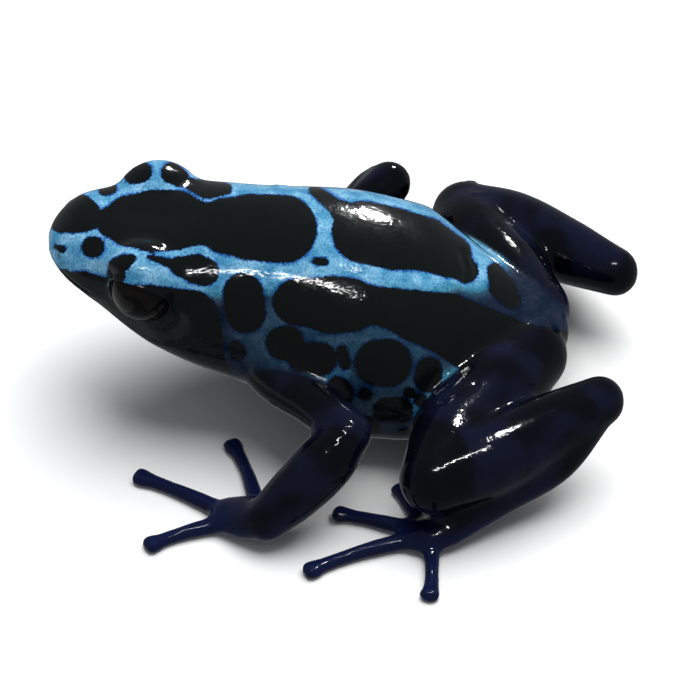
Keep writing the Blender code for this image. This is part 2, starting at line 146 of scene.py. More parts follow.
def smooth_through(places, values):
    """A curve through the given values that never swings past them: cubic pieces whose slope at each
    place is the harmonic mean of the two slopes beside it, or level where they differ in sign."""
    order = np.argsort(places)
    x, y = np.asarray(places, float)[order], np.asarray(values, float)[order]
    step = np.diff(x)
    slope = np.diff(y) / step
    tangent = np.zeros(len(x))
    tangent[0], tangent[-1] = slope[0], slope[-1]
    same_way = slope[:-1] * slope[1:] > 0
    steep = 2 * slope[:-1] * slope[1:] / np.where(same_way, slope[:-1] + slope[1:], 1)
    tangent[1:-1] = np.where(same_way, steep, 0)

    def curve(at):
        at = np.clip(at, x[0], x[-1])
        i = np.clip(np.searchsorted(x, at) - 1, 0, len(x) - 2)
        t = (at - x[i]) / step[i]
        rise = y[i] * (1 + 2 * t) * (1 - t) ** 2 + y[i + 1] * t * t * (3 - 2 * t)
        return rise + step[i] * t * (1 - t) * (tangent[i] * (1 - t) - tangent[i + 1] * t)

    return curve


stations = np.array(list(BODY_STATIONS.values()))
back_height, widest_height, belly_height, half_width = (
    smooth_through(stations[:, 0], column) for column in stations[:, 1:].T
)

# %% Body surface


def end_rounding(x):
    """How far the section has opened at x: a quarter superellipse at each end, 1 between them."""
    front = np.clip((SNOUT_X - x) / SNOUT_ROUNDING, 0, 1)
    rear = np.clip((x - VENT_X) / VENT_ROUNDING, 0, 1)
    k, m = SNOUT_SQUARENESS, VENT_SQUARENESS
    return (1 - (1 - front) ** k) ** (1 / k) * (1 - (1 - rear) ** m) ** (1 / m)


def half_section(x, up):
    """How far the section reaches above or below its widest line, and how square it is there."""
    reach = np.where(up > 0, back_height(x) - widest_height(x), widest_height(x) - belly_height(x))
    return reach, np.where(up > 0, BACK_SQUARENESS, BELLY_SQUARENESS)


def body_surface(x, angle):
    """The skin's point at x and angle: y = width cos^(2/n), z = widest + reach sin^(2/n)."""
    opened = end_rounding(x)
    c, s = np.cos(angle), np.sin(angle)
    reach, n = half_section(x, s)
    y = half_width(x) * opened * np.sign(c) * np.abs(c) ** (2 / n)
    z = widest_height(x) + reach * opened * np.sign(s) * np.abs(s) ** (2 / n)
    return np.stack([x + 0 * y, y, z], -1)


def height_off_body(points):
    """How far points lie outside the body's skin, in millimetres, measured along their own section."""
    x, y, z = points.T
    opened = np.maximum(end_rounding(x), 1e-3)
    up = z - widest_height(x)
    reach, n = half_section(x, up)
    r = (np.abs(y / half_width(x) / opened) ** n + np.abs(up / reach / opened) ** n) ** (1 / n)
    return np.hypot(y, up) * (1 - 1 / np.maximum(r, 1e-6))


def side_at_height(x, z):
    """How far out the body's left side is at x and height z."""
    up = z - widest_height(x)
    reach, n = half_section(x, up)
    share = np.clip(np.abs(up) / reach / end_rounding(x), 0, 1)
    return half_width(x) * end_rounding(x) * (1 - share**n) ** (1 / n)


# %% Closed grids


def ring_faces(count, sides):
    """The four-sided faces between rings of points that close on themselves."""
    i, j = np.meshgrid(np.arange(count - 1) * sides, np.arange(sides), indexing="ij")
    k = (j + 1) % sides
    return np.stack([i + j, i + k, i + k + sides, i + j + sides], -1).reshape(-1, 4).tolist()


def cap_faces(first, sides, pole):
    """Three-sided faces from a ring's points to a pole."""
    j = np.arange(sides)
    return np.stack([first + (j + 1) % sides, first + j, np.full(sides, pole)], -1).tolist()


shells = []


def closed_shell(rings, start, end):
    """Keeps a closed surface: a grid of rings, with one point to close each end."""
    count, sides = rings.shape[:2]
    points = np.concatenate([rings.reshape(-1, 3), [start], [end]])
    faces = ring_faces(count, sides)
    faces += cap_faces(0, sides, count * sides)
    faces += [face[::-1] for face in cap_faces((count - 1) * sides, sides, count * sides + 1)]
    shells.append((points, faces))


def add_ball(place, size, rings=24, sides=40):
    """Adds an ellipsoid: place + size times (sin t cos a, sin t sin a, cos t)."""
    t = np.linspace(0, np.pi, rings + 2)[1:-1, None]
    a = np.linspace(0, 2 * np.pi, sides, endpoint=False)[None]
    unit = np.stack([np.sin(t) * np.cos(a), np.sin(t) * np.sin(a), np.cos(t) + 0 * a], -1)
    place, size = np.array(place, float), np.array(size, float)
    top = np.array([0, 0, size[2]])
    closed_shell(place + size * unit, place + top, place - top)


BODY_RINGS, BODY_SIDES = 150, 120
turn = np.linspace(0, np.pi, BODY_RINGS + 2)[1:-1]
x_of_ring = (SNOUT_X + VENT_X) / 2 + (SNOUT_X - VENT_X) / 2 * np.cos(turn)
angle_of_side = np.linspace(0, 2 * np.pi, BODY_SIDES, endpoint=False)
body_rings = body_surface(x_of_ring[:, None], angle_of_side[None])
closed_shell(body_rings, [SNOUT_X, 0, widest_height(SNOUT_X)], [VENT_X, 0, widest_height(VENT_X)])

LID_PLACE = (12.7, 4.75, 13.9)
LID_SIZE = (3.7, 3.4, 3.45)
for side in (LEFT, RIGHT):
    add_ball((LID_PLACE[0], LID_PLACE[1] * side, LID_PLACE[2]), LID_SIZE)
print("body surface:", BODY_RINGS, "rings of", BODY_SIDES)

# %% [markdown]
# An arm or a leg is a chain of lofts. A loft carries an oval along a smooth line and closes each end
# with a rounded cap, so that neighbours meet in a ball at the joint, as flesh does over an elbow. The
# left and the right side have their own elbows, knees and heels, because a living animal never sits
# quite evenly. Joints are real places; the shape of each piece is offsets and half sizes along it.

# %% Limb stations
SHOULDER = {LEFT: (4.6, 4.2, 8.0), RIGHT: (3.0, -3.8, 5.0)}
ELBOW = {LEFT: (-4.5, 14.1, 7.7), RIGHT: (-5.3, -14.6, 8.6)}
WRIST = {LEFT: (1.6, 18.8, 2.2), RIGHT: (-1.0, -15.6, 2.2)}
HIP = {LEFT: (-18.0, 2.6, 6.2), RIGHT: (-18.0, -2.6, 6.2)}
KNEE = {LEFT: (-11.5, 16.0, 5.1), RIGHT: (-11.8, -15.1, 5.1)}
HEEL = {LEFT: (-23.9, 8.2, 7.0), RIGHT: (-24.5, -7.8, 6.4)}
ANKLE = {LEFT: (-12.6, 18.0, 1.3), RIGHT: (-12.6, -18.0, 1.3)}

# Each station: share of the way, how far the middle lies off the straight line, half width, half height
UPPER_ARM = (
    (0.0, 0.0, 0.0, 0.0, 2.3, 2.3),
    (0.35, 0.4, 0.5, -0.3, 2.1, 2.2),
    (0.7, 0.0, 0.3, 0.0, 1.85, 1.95),
    (1.0, 0.0, 0.0, 0.0, 1.9, 1.9),
)
FOREARM = (
    (0.0, 0.0, 0.0, 0.0, 1.85, 1.85),
    (0.35, -0.4, 0.2, 0.3, 2.4, 2.3),
    (0.7, -0.3, 0.2, 0.2, 2.25, 2.1),
    (1.0, 0.0, 0.0, 0.0, 1.85, 1.7),
)
THIGH = (
    (0.0, 0.0, 0.0, 0.0, 3.2, 3.2),
    (0.35, 0.4, -0.2, 0.3, 3.6, 3.6),
    (0.7, 0.6, -0.5, 0.4, 3.4, 3.4),
    (1.0, 0.0, 0.0, 0.0, 2.9, 2.9),
)
SHANK = (
    (0.0, 0.0, 0.0, 0.0, 2.8, 2.8),
    (0.32, 0.2, 0.5, 0.0, 3.2, 3.2),
    (0.68, 0.1, 0.3, 0.0, 2.7, 2.8),
    (1.0, 0.0, 0.0, 0.0, 2.0, 2.15),
)
TARSUS = (
    (0.0, 0.0, 0.0, 0.0, 1.8, 1.9),
    (0.35, -1.0, 0.6, -1.1, 1.5, 1.5),
    (0.7, -0.4, 0.5, -0.4, 1.4, 1.3),
    (1.0, 0.0, 0.0, 0.0, 1.4, 1.2),
)
# The palm runs on from the wrist and the sole from the ankle: offsets, half width, half height
PALM = ((0.0, 0.0, 0.0, 1.75, 1.6), (1.4, -0.9, -0.85, 2.1, 1.45), (3.3, -1.5, -1.3, 1.8, 1.0))
SOLE = ((0.0, 0.0, 0.0, 1.35, 1.15), (1.4, 0.2, -0.3, 1.7, 1.1), (2.6, 0.2, -0.5, 1.5, 0.9))

# Digits: where the tip reaches and where the root is sunk, ahead of the wrist or the ankle and out from
# it, and how far the middle bows to the side
FINGERS = (
    ((-3.2, -5.2), (0.0, -1.0), 0.3),
    ((4.0, -10.0), (1.0, -2.2), -0.4),
    ((11.2, -5.6), (3.0, -1.7), -0.2),
    ((9.3, 2.1), (3.2, -0.8), -0.3),
)
TOES = (
    ((-0.3, -4.1), (0.4, -0.6), 0.1),
    ((4.2, -5.4), (1.7, -0.8), 0.2),
    ((9.1, -2.0), (2.4, -0.4), -0.2),
    ((10.8, 4.6), (2.4, 0.4), -0.4),
    ((0.9, 6.4), (1.3, 0.6), 0.2),
)
DIGIT_HALF_WIDTH, DISC_HALF_WIDTH, DIGIT_HEIGHT, FLAT_DEPTH = 0.66, 0.9, 0.62, 0.16

# %% Lofts


def loft(table, rings, sides, blunt=1.0):
    """An oval carried along a smooth line: middle + width cos a across + height sin a upright, with each
    end closed by a quarter circle of ovals that shrink to a point."""
    table = np.array(table, float)
    run = np.concatenate([[0], np.cumsum(np.linalg.norm(np.diff(table[:, :3], axis=0), axis=1))])
    at = np.linspace(0, run[-1], rings)
    x, y, z, wide, high = (smooth_through(run, column)(at) for column in table.T)
    middle = np.stack([x, y, z], -1)
    way = np.gradient(middle, axis=0)
    way /= np.linalg.norm(way, axis=1, keepdims=True)
    bend = np.linspace(0, np.pi / 2, 9)[1:-1]
    first, last = blunt * (wide[0] + high[0]) / 2, blunt * (wide[-1] + high[-1]) / 2
    front = middle[0] - way[0] * first * np.sin(bend[::-1, None])
    rear = middle[-1] + way[-1] * last * np.sin(bend[:, None])
    start, end = middle[0] - way[0] * first, middle[-1] + way[-1] * last
    shrink = np.cos(bend)
    wide = np.concatenate([wide[0] * shrink[::-1], wide, wide[-1] * shrink])
    high = np.concatenate([high[0] * shrink[::-1], high, high[-1] * shrink])
    repeat = (len(bend), 1)
    way = np.concatenate([np.tile(way[0], repeat), way, np.tile(way[-1], repeat)])
    middle = np.concatenate([front, middle, rear])
    across = np.cross(way, [0, 0, 1])
    across /= np.linalg.norm(across, axis=1, keepdims=True)
    upright = np.cross(across, way)
    a = np.linspace(0, 2 * np.pi, sides, endpoint=False)[:, None]
    ovals = across[:, None] * wide[:, None, None] * np.cos(a)
    ovals = ovals + upright[:, None] * high[:, None, None] * np.sin(a)
    closed_shell(middle[:, None] + ovals, start, end)


def along(start, end, shape, side):
    """Stations from start to end: start + share (end - start) + offset, with y offsets turned by side."""
    start, end = np.array(start, float), np.array(end, float)
    return [(*(start + s * (end - start) + (x, y * side, z)), w, h) for s, x, y, z, w, h in shape]


def onward(start, shape, side):
    """Stations that run on from a joint by their own offsets."""
    return [(start[0] + x, start[1] + y * side, start[2] + z, w, h) for x, y, z, w, h in shape]


def on_floor(tip, root, bow):
    """Stations of a digit that lies on the floor: a straight way plus a bow of 4 s (1 - s), which
    thickens at the root and widens into a disc at the tip."""
    way = tip - root
    aside = np.array([-way[1], way[0]]) / np.linalg.norm(way)
    disc = DISC_HALF_WIDTH / DIGIT_HALF_WIDTH
    widths = {0.0: 1.15, 0.3: 1.05, 0.62: 0.9, 0.82: 0.98, 0.93: disc, 0.97: 1.3}
    stations = []
    for s, width in widths.items():
        x, y = root + way * s + aside * bow * 4 * s * (1 - s)
        height = DIGIT_HEIGHT * (1.25 - 0.35 * s)
        stations.append((x, y, height - FLAT_DEPTH, DIGIT_HALF_WIDTH * width, height))
    return stations


digits = []
for side in (LEFT, RIGHT):
    for piece in (
        along(SHOULDER[side], ELBOW[side], UPPER_ARM, side),
        along(ELBOW[side], WRIST[side], FOREARM, side),
        along(HIP[side], KNEE[side], THIGH, side),
        along(KNEE[side], HEEL[side], SHANK, side),
        along(HEEL[side], ANKLE[side], TARSUS, side),
        onward(WRIST[side], PALM, side),
        onward(ANKLE[side], SOLE, side),
    ):
        loft(piece, rings=40, sides=40)
    for joint, shapes in ((WRIST[side], FINGERS), (ANKLE[side], TOES)):
        for tip, root, bow in shapes:
            tip, root = (np.array(joint[:2]) + np.array(place) * (1, side) for place in (tip, root))
            digits.append((tip, root))
            loft(on_floor(tip, root, bow * side), rings=30, sides=24, blunt=0.6)
print("shells:", len(shells))

# %% [markdown]
# The shells overlap where flesh runs into flesh. A Boolean union would keep a hard crease at each
# joint, so the shells are laid over with a fine even net instead: a voxel remesh makes one closed skin
# of them. After that the skin is relaxed. A point that lies in a hollow moves up towards its
# neighbours, which fills the creases with a soft web, and a point on a bulge hardly moves.

# %% One skin
VOXEL = 0.28


def face_outwards(mesh, weld=0.0):
    """Merges points that lie closer than the given length and turns all faces outwards."""
    work = bmesh.new()
    work.from_mesh(mesh)
    if weld:
        bmesh.ops.remove_doubles(work, verts=work.verts, dist=weld)
    bmesh.ops.recalc_face_normals(work, faces=work.faces)
    work.to_mesh(mesh)
    work.free()


def joined(pieces):
    """The points and faces of several pieces as one list of each."""
    starts = np.cumsum([0] + [len(points) for points, _ in pieces])
    faces = []
    for start, (_, face_list) in zip(starts, pieces):
        faces += [[v + int(start) for v in face] for face in face_list]
    return np.concatenate([points for points, _ in pieces]), faces


def new_mesh_object(name, points, faces):
    """An object with a mesh from points and faces."""
    mesh = bpy.data.meshes.new(name)
    mesh.from_pydata(points.tolist(), [], faces)
    face_outwards(mesh)
    thing = bpy.data.objects.new(name, mesh)
    bpy.context.scene.collection.objects.link(thing)
    return thing


skin = new_mesh_object("skin", *joined(shells))
remesh = skin.modifiers.new("one_skin", "REMESH")
remesh.mode = "VOXEL"
remesh.voxel_size = VOXEL
evaluated = skin.evaluated_get(bpy.context.evaluated_depsgraph_get())
skin_mesh = bpy.data.meshes.new_from_object(evaluated)
skin.modifiers.clear()
skin.data = skin_mesh
print("skin:", len(skin_mesh.vertices), "points")

# %% Relaxing


def read_rows(items, key, width, kind=np.float32):
    """The numbers of a mesh's points, edges or faces, one row for each."""
    out = np.empty(len(items) * width, kind)
    items.foreach_get(key, out)
    return out.reshape(-1, width)


def places(mesh):
    """The mesh's points as an array."""
    return read_rows(mesh.vertices, "co", 3).astype(float)


def normals(mesh):
    """The mesh's point normals."""
    return read_rows(mesh.vertex_normals, "vector", 3).astype(float)


def move_to(mesh, points):
    """Puts the mesh's points in the given places."""
    mesh.vertices.foreach_set("co", points.ravel())
    mesh.update()


def around(values, pairs):
    """The mean of each point's neighbours."""
    a, b = pairs.T
    count = np.bincount(pairs.ravel(), minlength=len(values))
    columns = [np.bincount(a, v[b], len(v)) + np.bincount(b, v[a], len(v)) for v in values.T]
    return np.stack(columns, -1) / count[:, None]


def relax(mesh, rounds, fill, shave):
    """Moves each point a share of the way to its neighbours' mean: fill in hollows, shave on bulges."""
    pairs = read_rows(mesh.edges, "vertices", 2, np.int32)
    points = places(mesh)
    for _ in range(rounds):
        pull = around(points, pairs) - points
        move_to(mesh, points)
        outward = (pull * normals(mesh)).sum(1, keepdims=True)
        points = points + pull * np.where(outward > 0, fill, shave)
    move_to(mesh, points)


FILLING_ROUNDS = 14
relax(skin_mesh, FILLING_ROUNDS, fill=0.7, shave=0.12)

# %% [markdown]
# Lips, nostrils, finger and toe discs need a finer net than the rest. Only the faces near them are
# divided, because a finer net all over would cost a million points that nobody sees.

# %% Where the small features are
MOUTH_FRONT, MOUTH_CORNER = (20.6, 13.8), (8.6, 9.7)
MOUTH_BEND = 2.4
NOSTRIL_X, NOSTRIL_ANGLE = 19.75, np.radians(22)
EAR_PLACE = (8.2, 12.2)

bend = np.linspace(-1, 1, 161)
mouth_x = MOUTH_CORNER[0] + (MOUTH_FRONT[0] - MOUTH_CORNER[0]) * (1 - np.abs(bend) ** MOUTH_BEND)
mouth_share = (mouth_x - MOUTH_CORNER[0]) / (MOUTH_FRONT[0] - MOUTH_CORNER[0])
mouth_z = MOUTH_CORNER[1] + (MOUTH_FRONT[1] - MOUTH_CORNER[1]) * mouth_share
mouth_line = np.stack([mouth_x, np.sign(bend) * side_at_height(mouth_x, mouth_z), mouth_z], -1)
nostril_place = body_surface(NOSTRIL_X, NOSTRIL_ANGLE)
ear_place = np.array([EAR_PLACE[0], float(side_at_height(*EAR_PLACE)), EAR_PLACE[1]])
print("nostril at", nostril_place.round(2), "seen at", seen_at(nostril_place).round(0))


def mirrored(points, side):
    """Points of the left side, or their mirror image on the right."""
    return np.asarray(points, float) * (1, side, 1)


digit_tips = [(*tip, DIGIT_HEIGHT) for tip, _ in digits]


def distance_to(points, places):
    """Each point's distance to the nearest of the places."""
    gap = points[:, None] - np.asarray(places)[None]
    return np.sqrt((gap**2).sum(-1).min(1))


# %% Finer net


def divide_near(mesh, places, reach):
    """Divides into four the faces that lie nearer than reach to one of the places."""
    middles = read_rows(mesh.polygons, "center", 3).astype(float)
    chosen = np.flatnonzero(distance_to(middles, places) < reach)
    work = bmesh.new()
    work.from_mesh(mesh)
    work.faces.ensure_lookup_table()
    edges = {edge for i in chosen for edge in work.faces[int(i)].edges}
    bmesh.ops.subdivide_edges(work, edges=list(edges), cuts=1, use_grid_fill=True)
    work.to_mesh(mesh)
    work.free()


nostrils = [mirrored(nostril_place, side) for side in (LEFT, RIGHT)]
ears = [mirrored(ear_place, side) for side in (LEFT, RIGHT)]
for places_to_divide, reach in (
    (mouth_line, 0.75),
    (mouth_line, 0.4),
    (nostrils, 1.0),
    (nostrils, 0.7),
    (ears, 1.5),
    (digit_tips, 1.2),
):
    divide_near(skin_mesh, places_to_divide, reach)
relax(skin_mesh, 4, fill=0.5, shave=0.3)
print("skin with finer places:", len(skin_mesh.vertices), "points")

# %% [markdown]
# A lid is a rolled rim round a nearly round opening, and the skin goes on inwards as a socket that
# holds the eyeball. First the skin round the eye is drawn in along rays from the eye's middle, so that
# it lies on the ball as a thin lid. A cone from the same middle then cuts the hole, and the cut edges
# are split exactly on the cone. A grid of rings runs from the hole's edge over the rim and round the
# back of the eyeball. Pushing the net's own points about instead would leave a torn rim.

# %% Lids
EYE_FACING = np.array([0.25, 0.97, -0.05])
OPENING_FRONT, OPENING_REAR = np.radians(66), np.radians(64)
OPENING_UP, OPENING_DOWN = np.radians(42), np.radians(54)
OPENING_TILT = np.radians(8)
RIM_MIDDLE, RIM_RADIUS, RIM_LIFT = np.radians(2.6), 0.07, 0.085
LID_THICKNESS = 0.17
LID_FLAT, LID_FADE = np.radians(9), np.radians(27)
LID_NEAR, LID_FAR = 3.9, 5.2
CUT_MARGIN = np.radians(9)
EDGE_HEIGHT, EDGE_REACH = 0.7, 1.0
SOCKET_GAP = 0.05
CUT_REACH = 3.6


def smooth_step(low, high, value):
    """0 below low, 1 above high, and an S between them."""
    t = np.clip((value - low) / (high - low), 0, 1)
    return t * t * (3 - 2 * t)


def bump(distance, width):
    """A bell curve of height 1."""
    return np.exp(-((distance / width) ** 2))


def eye_frame(side):
    """The eye's middle, and the ways it looks, towards the snout and up."""
    facing = mirrored(EYE_FACING, side)
    facing /= np.linalg.norm(facing)
    ahead = np.array([1.0, 0, 0]) - facing[0] * facing
    ahead /= np.linalg.norm(ahead)
    return mirrored(EYE_PLACE, side), facing, ahead, side * np.cross(ahead, facing)


def round_eye(points, side):
    """Polar places round an eye: angle off the way it looks, angle round that way, distance."""
    middle, facing, ahead, upright = eye_frame(side)
    away = points - middle
    reach = np.linalg.norm(away, axis=1)
    off = np.arccos(np.clip(away @ facing / reach, -1, 1))
    return off, np.arctan2(away @ upright, away @ ahead), reach


def from_round_eye(off, turn, reach, side):
    """The places of polar values: middle + reach way, with way = cos off facing + sin off aside."""
    middle, facing, ahead, upright = eye_frame(side)
    aside = np.cos(turn)[..., None] * ahead + np.sin(turn)[..., None] * upright
    way = np.cos(off)[..., None] * facing + np.sin(off)[..., None] * aside
    return middle + reach[..., None] * way


def opening_at(turn):
    """The opening's angle in each direction: four quarters of ellipses, with the rear corner lower."""
    ahead, up = np.cos(turn - OPENING_TILT), np.sin(turn - OPENING_TILT)
    long = np.where(ahead > 0, OPENING_FRONT, OPENING_REAR)
    tall = np.where(up > 0, OPENING_UP, OPENING_DOWN)
    return 1 / np.hypot(ahead / long, up / tall)


def draw_in(mesh, side):
    """Draws the skin round an eye in to a thin lid, along the rays from the eye's middle."""
    off, turn, reach = round_eye(places(mesh), side)
    share = 1 - smooth_step(LID_FLAT, LID_FADE, off - opening_at(turn))
    share *= 1 - smooth_step(LID_NEAR, LID_FAR, reach)
    thin = np.minimum(reach, EYE_RADIUS + LID_THICKNESS)
    move_to(mesh, from_round_eye(off, turn, reach + share * (thin - reach), side))


def cut_hole(mesh, side):
    """Cuts the skin along the cone round an opening and removes what lies inside."""
    off, turn, reach = round_eye(places(mesh), side)
    past = off - opening_at(turn) - CUT_MARGIN
    past[np.abs(past) < 1e-4] = 1e-4
    close = reach < EYE_RADIUS + CUT_REACH
    work = bmesh.new()
    work.from_mesh(mesh)
    work.verts.ensure_lookup_table()
    inside = [work.verts[int(i)] for i in np.flatnonzero(close & (past < 0))]
    crossing = {edge for vert in inside for edge in vert.link_edges if past[edge.other_vert(vert).index] > 0}
    on_cut = []
    for edge in list(crossing):
        near, far = edge.verts
        share = past[near.index] / (past[near.index] - past[far.index])
        on_cut.append(bmesh.utils.edge_split(edge, near, share)[1])
    bmesh.ops.connect_verts(work, verts=on_cut)
    bmesh.ops.delete(work, geom=inside, context="VERTS")
    work.to_mesh(mesh)
    loop = np.array([vert.co[:] for vert in on_cut if vert.is_valid])
    work.free()
    return loop


def lid_grid(loop, side):
    """Rings from the hole's edge over a rolled rim and round the eyeball's back."""
    _, turn, reach = round_eye(loop, side)
    order = np.argsort(turn)
    turn, reach = turn[order][None], reach[order][None]
    start = opening_at(turn) + CUT_MARGIN
    roll = np.radians(np.array([-75, -45, -15, 15, 45, 75, 110, 150]))[:, None]
    roll_off = opening_at(turn) + RIM_MIDDLE - RIM_RADIUS / EYE_RADIUS * np.sin(roll)
    roll_reach = EYE_RADIUS + RIM_LIFT + RIM_RADIUS * np.cos(roll) + 0 * turn
    share = np.array([0.0, 0.5])[:, None]
    lead_off = start + (roll_off[:1] - start) * share
    lead_reach = reach + (roll_reach[:1] - reach) * smooth_step(0, 1, share)
    back = np.linspace(0, 1, 9)[1:-1, None] ** 1.2
    back_off = roll_off[-1:] + (np.pi - roll_off[-1:]) * back
    back_reach = EYE_RADIUS + SOCKET_GAP + 0 * back_off
    off = np.concatenate([lead_off, roll_off, back_off])
    reach = np.concatenate([lead_reach, roll_reach, back_reach])
    grid = from_round_eye(off, np.broadcast_to(turn, off.shape), reach, side)
    grid[0] = loop[order]
    pole = from_round_eye(np.array(np.pi), np.array(0.0), np.array(EYE_RADIUS + SOCKET_GAP), side)
    rings, sides = off.shape
    faces = ring_faces(rings, sides)
    faces += [face[::-1] for face in cap_faces((rings - 1) * sides, sides, rings * sides)]
    return np.concatenate([grid.reshape(-1, 3), [pole]]), faces


turn = np.linspace(0, 2 * np.pi, 60)
for side in (LEFT, RIGHT):
    cut = from_round_eye(opening_at(turn) + CUT_MARGIN, turn, 0 * turn + EYE_RADIUS + EDGE_HEIGHT, side)
    divide_near(skin_mesh, cut, EDGE_REACH)
    draw_in(skin_mesh, side)
lids = [lid_grid(cut_hole(skin_mesh, side), side) for side in (LEFT, RIGHT)]
flesh = (places(skin_mesh), [tuple(face.vertices) for face in skin_mesh.polygons])
points, faces = joined([flesh, *lids])
skin_mesh.clear_geometry()
skin_mesh.from_pydata(points.tolist(), [], faces)
WELD = 1e-4
face_outwards(skin_mesh, weld=WELD)
print("skin with lids:", len(skin_mesh.vertices), "points,", "each opening of", len(lids[0][0]), "points")

# %% [markdown]
# The lips meet in a narrow groove that fades towards the ear, each nostril is a small pit behind a rim,
# the eardrum is a round dent with a faint ring, the crown sinks between the eyes, and each digit ends
# in a disc with two small plates on top. All of them move the skin's points along their normals, by a
# function of the distance to the feature. Carving them as Booleans would leave torn edges in so fine a
# net.

# %% Lips, nostrils, ears and discs
GROOVE_DEPTH, GROOVE_WIDTH, GROOVE_FADE = 0.15, 0.12, 3.0
LIP_RISE, LIP_WIDTH, LIP_OFFSET = 0.035, 0.2, 0.36
CROWN_X, CROWN_DEPTH, CROWN_LENGTH, CROWN_WIDTH = 12.6, 0.35, 3.2, 2.0
NOSTRIL_DEPTH, NOSTRIL_WIDTH, NOSTRIL_RIM = 0.4, 0.22, 0.08
EAR_RADIUS, EAR_DEPTH, EAR_RING = 1.05, 0.05, 0.03
PLATE_RISE, PLATE_WIDTH, PLATE_OFFSET = 0.09, 0.3, 0.33


def face_relief(points):
    """How far each point moves outwards for lips, nostrils, ears and the plates on the discs."""
    rise = np.zeros(len(points))
    head = np.flatnonzero(points[:, 0] > MOUTH_CORNER[0] - 1)
    d = distance_to(points[head], mouth_line)
    lips = LIP_RISE * bump(d - LIP_OFFSET, LIP_WIDTH) - GROOVE_DEPTH * bump(d, GROOVE_WIDTH)
    rise[head] += lips * smooth_step(MOUTH_CORNER[0], MOUTH_CORNER[0] + GROOVE_FADE, points[head, 0])
    d = np.hypot((points[:, 0] - CROWN_X) / CROWN_LENGTH, points[:, 1] / CROWN_WIDTH)
    rise -= CROWN_DEPTH * bump(d, 1) * smooth_step(13, 15, points[:, 2])
    for nostril, ear in zip(nostrils, ears):
        d = np.linalg.norm(points - nostril, axis=1)
        rise += NOSTRIL_RIM * bump(d - 2 * NOSTRIL_WIDTH, NOSTRIL_WIDTH)
        rise -= NOSTRIL_DEPTH * bump(d, NOSTRIL_WIDTH)
        d = np.linalg.norm(points - ear, axis=1)
        rise += EAR_RING * bump(d - EAR_RADIUS, 0.2)
        rise -= EAR_DEPTH * (1 - smooth_step(0.65, 1.0, d / EAR_RADIUS))
    for tip, root in digits:
        way = (tip - root) / np.linalg.norm(tip - root)
        for aside in (-PLATE_OFFSET, PLATE_OFFSET):
            plate = tip - 0.35 * way + aside * np.array([-way[1], way[0]])
            d = np.hypot(*(points[:, :2] - plate).T)
            rise += PLATE_RISE * bump(d, PLATE_WIDTH) * smooth_step(0.2, 0.7, points[:, 2])
    return rise


points = places(skin_mesh)
points += normals(skin_mesh) * face_relief(points)[:, None]
points[:, 2] = np.maximum(points[:, 2], 0)
move_to(skin_mesh, points)

# %% [markdown]
# The markings are black cells on a blue network. Each cell is a chain of circles, given in the
# picture's pixels, with straight tangents between them, and the distance to the chain's edge is kept
# on the skin as a number in millimetres. The shader turns that number into paint, so that it can
# fray the edges with noise. What the camera doesn't see gets the same cells, carried to the skin as
# chains of balls, mirrored and pushed about by slow waves, and the belly gets rounded cells
# between seeded points.

# %% Cells
CELLS = {
    "snout_patch": ((62, 220, 13), (78, 214, 20), (84, 215, 17), (100, 220, 9)),
    "snout_spot": ((92, 247, 10.5), (94, 247, 10.5)),
    "nostril": ((56, 247, 2), (62, 249, 4)),
    "before_eye": ((132, 258.5, 4.5), (124, 262, 8), (117, 266, 8.5), (116, 276, 9), (112, 283, 8)),
    "lid_bar": ((149, 257, 2.5), (160, 260, 3.5), (170, 263, 4.5)),
    "behind_lid": ((180, 266, 10), (196, 269, 15), (205, 272, 14)),
    "upper_lip": ((72, 273, 1), (84, 275, 4), (102, 286, 9)),
    "lower_lip": ((64, 274, 5), (82, 288, 9), (112, 305, 14), (150, 325, 26)),
    "cheek": ((110, 300, 16), (150, 308, 23), (190, 319, 29), (196, 344, 27), (205, 366, 20)),
    "jaw": ((110, 310, 14), (150, 336, 24), (190, 356, 22), (215, 372, 14)),
    "shoulder": ((243, 293, 20), (246, 313, 20)),
    "dorsal_front": (
        *((113, 222, 16.5), (130, 221, 26), (152, 221, 31), (175, 220, 30)),
        *((204, 224, 21), (226, 226, 28), (250, 227, 33), (283, 229, 34)),
    ),
    "dorsal_rear_tip": ((314, 190, 5), (335, 206, 8), (352, 220, 18)),
    "dorsal_rear": ((363, 232, 31), (395, 239, 31), (425, 244, 27), (450, 256, 22), (466, 270, 13)),
    "cross_spot": ((316, 261, 4), (325, 262, 4)),
    "far_lid_front": ((133, 175, 9), (142, 172, 10)),
    "far_lid_rear": ((172, 173, 11), (180, 178, 9)),
    "far_temple": ((190, 184, 6), (207, 190, 9), (226, 189, 6)),
    "far_brow": ((104, 191, 5), (112, 189, 5)),
    "rump": ((495, 271, 8), (502, 287, 13), (512, 300, 9)),
    "flank": (
        *((296, 302, 23), (312, 303, 25), (332, 305, 29), (350, 305, 27), (374, 305, 19)),
        *((395, 309, 21), (416, 316, 26), (447, 324, 31), (480, 341, 34), (530, 352, 26), (556, 352, 22)),
    ),
    "flank_large": ((378, 363, 23), (388, 363, 24)),
    "flank_rear": ((429, 370, 13), (428, 378, 14)),
    "flank_low": ((385, 410, 12), (400, 410, 13)),
    "flank_front": ((338, 388, 12), (342, 394, 12)),
    "flank_dot": ((364, 394, 6), (366, 395, 6)),
    "flank_dot_rear": ((408, 392, 5), (410, 393, 5)),
    "flank_gap": ((342, 350, 5), (345, 364, 6)),
    "armpit": ((283, 343, 17), (287, 343, 17)),
    "armpit_rear": ((302, 357, 15), (320, 359, 17)),
    "groin_dot": ((420, 399, 6), (421, 401, 6)),
    "belly_edge": ((352, 424, 14), (366, 430, 13)),
    "belly_edge_rear": ((398, 446, 14), (410, 440, 12)),
    "chest": ((235, 347, 7), (238, 352, 8)),
}

